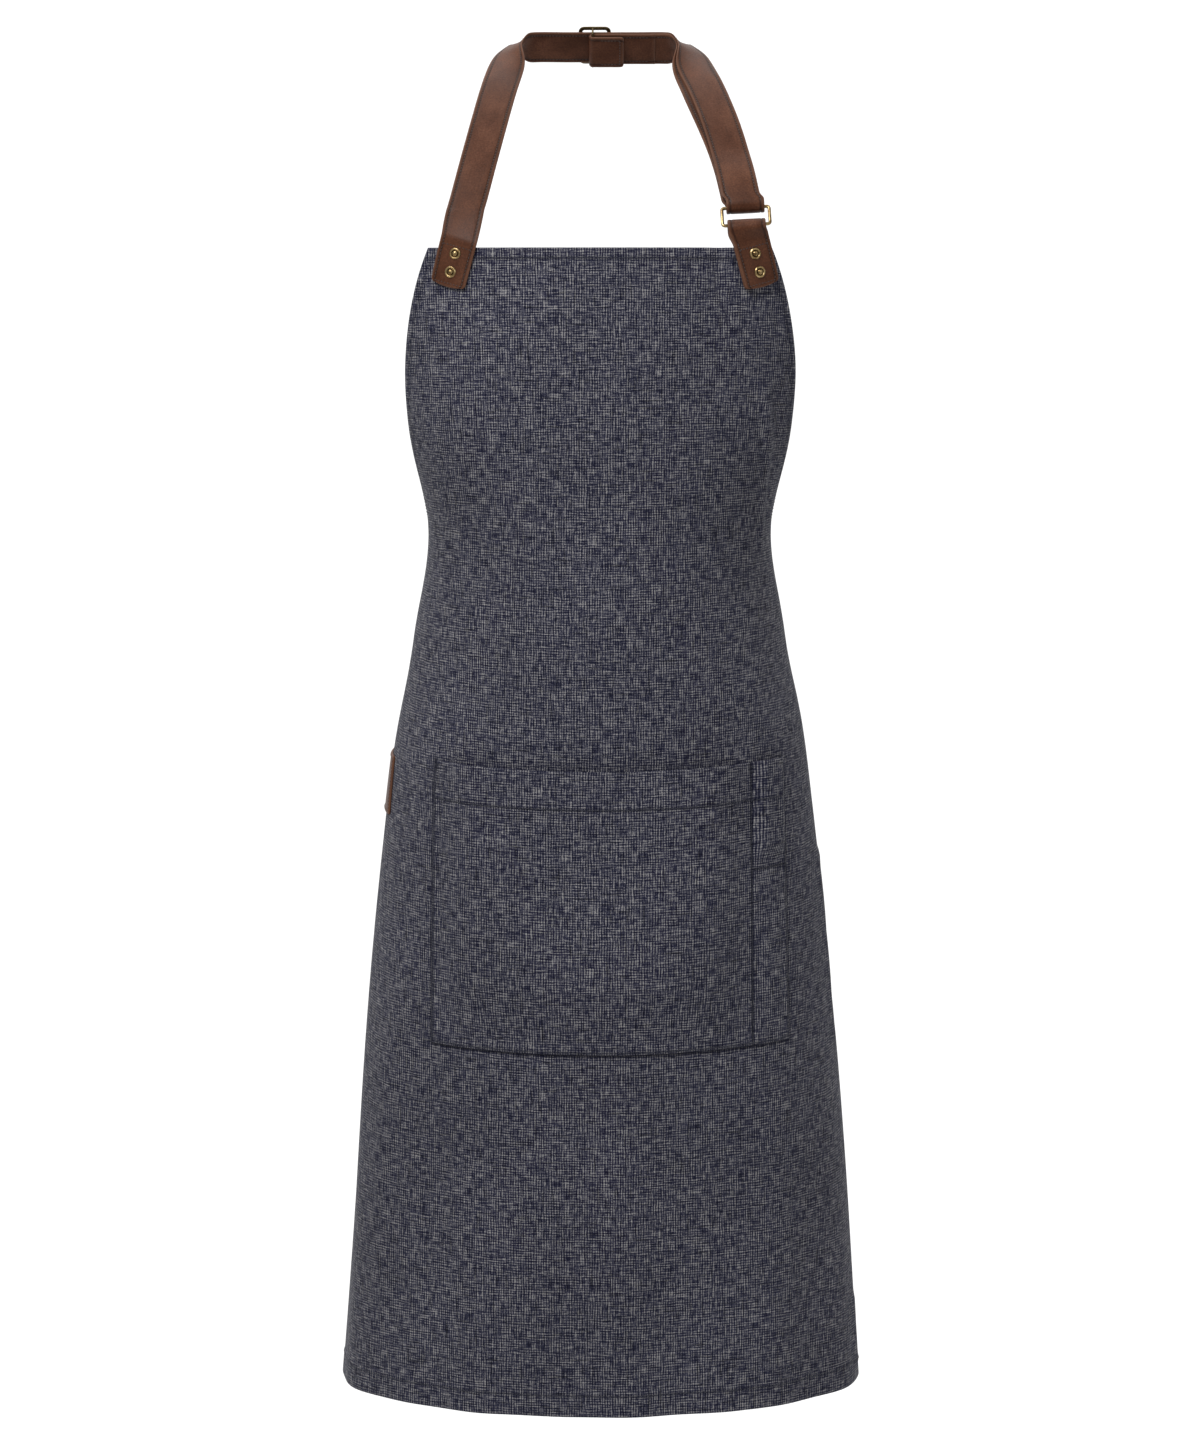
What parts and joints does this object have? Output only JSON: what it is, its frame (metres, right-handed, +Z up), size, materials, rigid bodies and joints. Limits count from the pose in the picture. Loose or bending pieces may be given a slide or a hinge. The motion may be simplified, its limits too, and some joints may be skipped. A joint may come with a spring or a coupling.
{
  "type": "bib apron",
  "caption": "Worn-shape cloth bib apron with a leather neck strap, slider, ring, riveted ends, front pockets and waist ties.",
  "frame": {"origin": "middle of the neck strap at the nape of the neck, where the apron hangs", "axes": "+Z up, -Y the wearer's front, +X to the right seen from the front"},
  "size_m": [0.4008, 0.2549, 1.0347],
  "materials": {
    "cloth": "navy melange plain weave with grey slubs",
    "leather": "brown smooth leather, slightly glossy, dark stitching",
    "brass": "antique brass, worn bright on the edges"
  },
  "bodies": {
    "neck": {"neck_strap": "leather"},
    "ring": {"strap_ring": "brass"},
    "slider": {"slider_buckle": "brass", "strap_loop_end": "leather"},
    "apron": {"apron_panel": "cloth", "main_pocket": "cloth", "hip_label": "leather", "strap_end_left": "leather", "ring_tab": "leather", "rivet_left_upper": "brass", "rivet_washer_left_upper": "brass", "rivet_left_lower": "brass", "rivet_washer_left_lower": "brass", "rivet_right_upper": "brass", "rivet_washer_right_upper": "brass", "rivet_right_lower": "brass", "rivet_washer_right_lower": "brass", "waist_tie_left": "cloth", "bow_loop_left": "cloth", "tie_tail_left": "cloth", "waist_tie_right": "cloth", "bow_loop_right": "cloth", "tie_tail_right": "cloth", "tie_knot": "cloth"}
  },
  "joints": [
    {"name": "bib_swing", "type": "hinge", "parent": "neck", "child": "apron", "pos_m": [0, -0.1255, -0.13], "axis": [-1, 0, 0], "range_deg": [-15, 18]},
    {"name": "ring_swing", "type": "hinge", "parent": "neck", "child": "ring", "pos_m": [0, -0.1255, -0.13], "axis": [-1, 0, 0], "range_deg": [-7.5, 9]},
    {"name": "slider_slide", "type": "slide", "parent": "neck", "child": "slider", "axis": [1, 0, 0], "range_m": [-0.03, 0.01]}
  ],
  "couplings": [
    {"joint": "ring_swing", "follows": "bib_swing", "ratio": 0.5}
  ]
}
